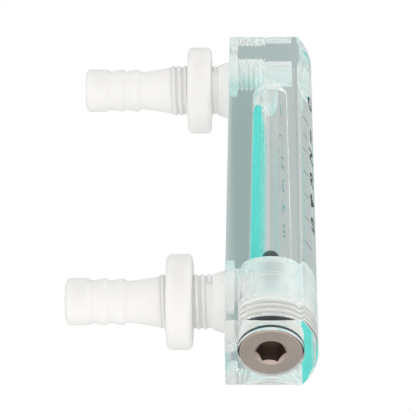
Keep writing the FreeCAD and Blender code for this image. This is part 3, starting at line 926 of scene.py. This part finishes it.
class FLOWMETER_OT_scale(bpy.types.Operator):
    """Print the scale's numbers and marks on the rounded front"""

    bl_idname = "flowmeter.scale"
    bl_label = "Scale"

    def execute(self, context):
        block = context.scene.flowmeter_block
        size = context.scene.flowmeter_print
        tint = context.scene.flowmeter_finish
        ink = printed("black_ink", tint.ink)
        # Painted light: the numbers' back faces, seen from inside the block, wear a grey lighter than the
        # ink, so that their mirrored images look faint.
        ink_back_painted_light = printed("ink_back_painted_light", shade(tint.mark, 2.2))
        grey = printed("grey_ink", tint.mark)
        rise = (size.film - size.key_in) / 2
        for number, height in enumerate(NUMBER_HEIGHTS):
            bm = flat_number(context, number, size)
            bmesh.ops.translate(bm, verts=bm.verts[:], vec=(size.digit_place, height, rise))
            for strip in range(-8, 9):
                cut = Vector((strip * size.digit_cut + size.digit_place, 0, 0))
                bmesh.ops.bisect_plane(
                    bm, geom=bm.verts[:] + bm.edges[:] + bm.faces[:], plane_co=cut, plane_no=ACROSS, dist=1e-8
                )
            bmesh.ops.recalc_face_normals(bm, faces=bm.faces[:])
            # Faces towards the block get the lighter grey, as painted light.
            for face in bm.faces:
                face.material_index = 1 if face.normal.z < -0.5 else 0
            wrap_on_front(bm, block)
            add_piece(f"scale_number_{number}", bm, [ink, ink_back_painted_light], "meter")
        for name, height in MARK_HEIGHTS.items():
            long = size.end_mark_length if name in ("zero", "end") else size.mark_length
            bm = bmesh.new()
            bmesh.ops.create_cube(bm, size=1.0)
            bmesh.ops.scale(bm, verts=bm.verts[:], vec=(long, size.mark_width, size.film + size.key_in))
            bmesh.ops.translate(bm, verts=bm.verts[:], vec=(size.mark_place - long / 2, height, rise))
            along = [edge for edge in bm.edges if abs(edge.verts[0].co.x - edge.verts[1].co.x) > long / 2]
            bmesh.ops.subdivide_edges(bm, edges=along, cuts=9)
            wrap_on_front(bm, block)
            bmesh.ops.recalc_face_normals(bm, faces=bm.faces[:])
            add_piece(f"scale_mark_{name}", bm, [grey], "meter")
        return {"FINISHED"}


class FLOWMETER_OT_stripes(bpy.types.Operator):
    """Paint the green-blue stripe on the back behind the tube"""

    bl_idname = "flowmeter.stripes"
    bl_label = "Painted stripe"

    def execute(self, context):
        size = context.scene.flowmeter_print
        paint = printed("stripe_paint", context.scene.flowmeter_finish.stripe)
        backing = printed("backing_coat", context.scene.flowmeter_finish.backing)
        low = Vector((-size.stripe_left, -size.key_in, BLOCK_TOP - size.stripe_bottom))
        high = Vector((size.stripe_right, size.film, BLOCK_TOP - size.stripe_top))
        bm = bmesh.new()
        bmesh.ops.create_cube(bm, size=1.0)
        bmesh.ops.scale(bm, verts=bm.verts[:], vec=high - low)
        bmesh.ops.translate(bm, verts=bm.verts[:], vec=(high + low) / 2)
        bm.normal_update()
        for face in bm.faces:
            face.material_index = 0 if face.normal.y < -0.5 else 1
        add_piece("back_stripe", bm, [paint, backing], "meter")
        return {"FINISHED"}


def set_camera(scene):
    """Make the scene's camera."""
    lens = bpy.data.cameras.new("camera")
    lens.sensor_width = SENSOR_WIDTH
    lens.lens = FOCAL_LENGTH
    lens.clip_start = 0.01
    lens.clip_end = 10.0
    camera = bpy.data.objects.new("camera", lens)
    turn = Matrix((CAMERA_RIGHT, CAMERA_UP, CAMERA_BACK)).transposed()
    camera.matrix_world = Matrix.Translation(CAMERA_PLACE) @ turn.to_4x4()
    scene.collection.objects.link(camera)
    scene.camera = camera


def pale_floor():
    """White to the camera and to matt surfaces, and with a painted soft shadow where it is seen through the
    block.
    """
    finish = Finish("pale_floor")
    finish.set(Roughness=0.9)
    across = finish.add("ShaderNodeSeparateXYZ", {"Vector": finish.place}).outputs["Y"]
    share = finish.spread(across, 0.0, 1.0, SHADE_FROM, SHADE_TO)
    # Painted shade: the floor's colour is darker in a band across Y, in the middle of the ramp, as if the
    # block lay on it and shaded it.
    painted_shade_ramp = finish.add("ShaderNodeValToRGB", {"Fac": share})
    steps = painted_shade_ramp.color_ramp.elements
    for step, (position, tint) in zip(steps, SHADE_ENDS):
        step.position, step.color = position, (*tint, 1.0)
    for position, tint in SHADE_MIDDLE:
        steps.new(position).color = (*tint, 1.0)
    finish.feed("Base Color", painted_shade_ramp.outputs["Color"])
    path = finish.add("ShaderNodeLightPath").outputs
    counts = {0: path["Is Camera Ray"], 1: path["Diffuse Depth"]}
    bright = finish.add("ShaderNodeMath", counts, operation="ADD", use_clamp=True).outputs["Value"]
    white = finish.add("ShaderNodeEmission").outputs["Emission"]
    matt = finish.shader.outputs["BSDF"]
    mix = finish.add("ShaderNodeMixShader", {"Fac": bright, 1: matt, 2: white}).outputs["Shader"]
    finish.links.new(mix, finish.nodes["Material Output"].inputs["Surface"])
    return finish.material


def set_sky(scene):
    """The plain soft room, white to the camera."""
    world = bpy.data.worlds.new("studio")
    scene.world = world
    world.cycles.sampling_method = "NONE"
    world.use_nodes = True
    sky = NodeBuilder(world.node_tree)
    direction = sky.add("ShaderNodeTexCoord").outputs["Generated"]
    side = sky.add("ShaderNodeVectorMath", {0: direction, 1: BRIGHT_SIDE}, operation="DOT_PRODUCT")
    share = sky.spread(side.outputs["Value"], 0.0, 1.0, SHARE_FROM, SHARE_TO)
    straight = sky.mixed(share, DIM_ROOM, BRIGHT_ROOM)
    spread = sky.mixed(share, DIM_ROOM_SPREAD, BRIGHT_ROOM_SPREAD)
    path = sky.add("ShaderNodeLightPath").outputs
    room = sky.mixed(path["Diffuse Depth"], straight, spread)
    seen = sky.mixed(path["Is Camera Ray"], room, WHITE)
    sky.links.new(seen, sky.nodes["Background"].inputs["Color"])


class FLOWMETER_OT_stage(bpy.types.Operator):
    """Set the camera, the pale floor, the sky and the soft lights"""

    bl_idname = "flowmeter.stage"
    bl_label = "Stage"

    def execute(self, context):
        scene = context.scene
        set_camera(scene)
        bm = bmesh.new()
        bmesh.ops.create_grid(bm, x_segments=4, y_segments=4, size=FLOOR_REACH)
        bmesh.ops.translate(bm, verts=bm.verts[:], vec=(0, 0, -FLOOR_DROP))
        floor = add_piece("floor", bm, [pale_floor()])
        set_sky(scene)
        for name, place, width, power in LAMPS:
            panel = bpy.data.lights.new(name, "AREA")
            panel.size = width
            panel.energy = power
            light = bpy.data.objects.new(name, panel)
            light.location = place
            light.rotation_euler = (-Vector(place)).to_track_quat("-Z", "Y").to_euler()
            light.visible_glossy = light.visible_transmission = False
            scene.collection.objects.link(light)
        scene.view_settings.view_transform = "Standard"
        # Light is passed on often and sharply enough for the threads and bores inside the clear block
        scene.cycles.blur_glossy = 0.0
        scene.cycles.max_bounces = 128
        scene.cycles.diffuse_bounces = 16
        scene.cycles.glossy_bounces = 128
        scene.cycles.transmission_bounces = 128
        return {"FINISHED"}


OPERATORS = (
    FLOWMETER_OT_stage,
    FLOWMETER_OT_block,
    FLOWMETER_OT_plug,
    FLOWMETER_OT_fittings,
    FLOWMETER_OT_nuts,
    FLOWMETER_OT_inside,
    FLOWMETER_OT_scale,
    FLOWMETER_OT_stripes,
)


class FLOWMETER_PT_panel(bpy.types.Panel):
    """Lists the flowmeter's sizes, colours and pieces"""

    bl_idname = "FLOWMETER_PT_panel"
    bl_label = "Oxygen flowmeter"
    bl_space_type = "VIEW_3D"
    bl_region_type = "UI"
    bl_category = "Flowmeter"

    def draw(self, context):
        for operator in OPERATORS:
            self.layout.operator(operator.bl_idname)
        for name, group in PROPERTY_GROUPS.items():
            box = self.layout.box()
            box.label(text=group.__doc__)
            for key in group.__annotations__:
                box.prop(getattr(context.scene, name), key)


CLASSES = (*PROPERTY_GROUPS.values(), *OPERATORS, FLOWMETER_PT_panel)


def register():
    for item in CLASSES:
        bpy.utils.register_class(item)
    for name, group in PROPERTY_GROUPS.items():
        setattr(bpy.types.Scene, name, bpy.props.PointerProperty(type=group))


def unregister():
    for name in PROPERTY_GROUPS:
        delattr(bpy.types.Scene, name)
    for item in reversed(CLASSES):
        bpy.utils.unregister_class(item)


def main():
    register()
    for operator in OPERATORS:
        group, name = operator.bl_idname.split(".")
        getattr(getattr(bpy.ops, group), name)()


if __name__ == "__main__":
    main()
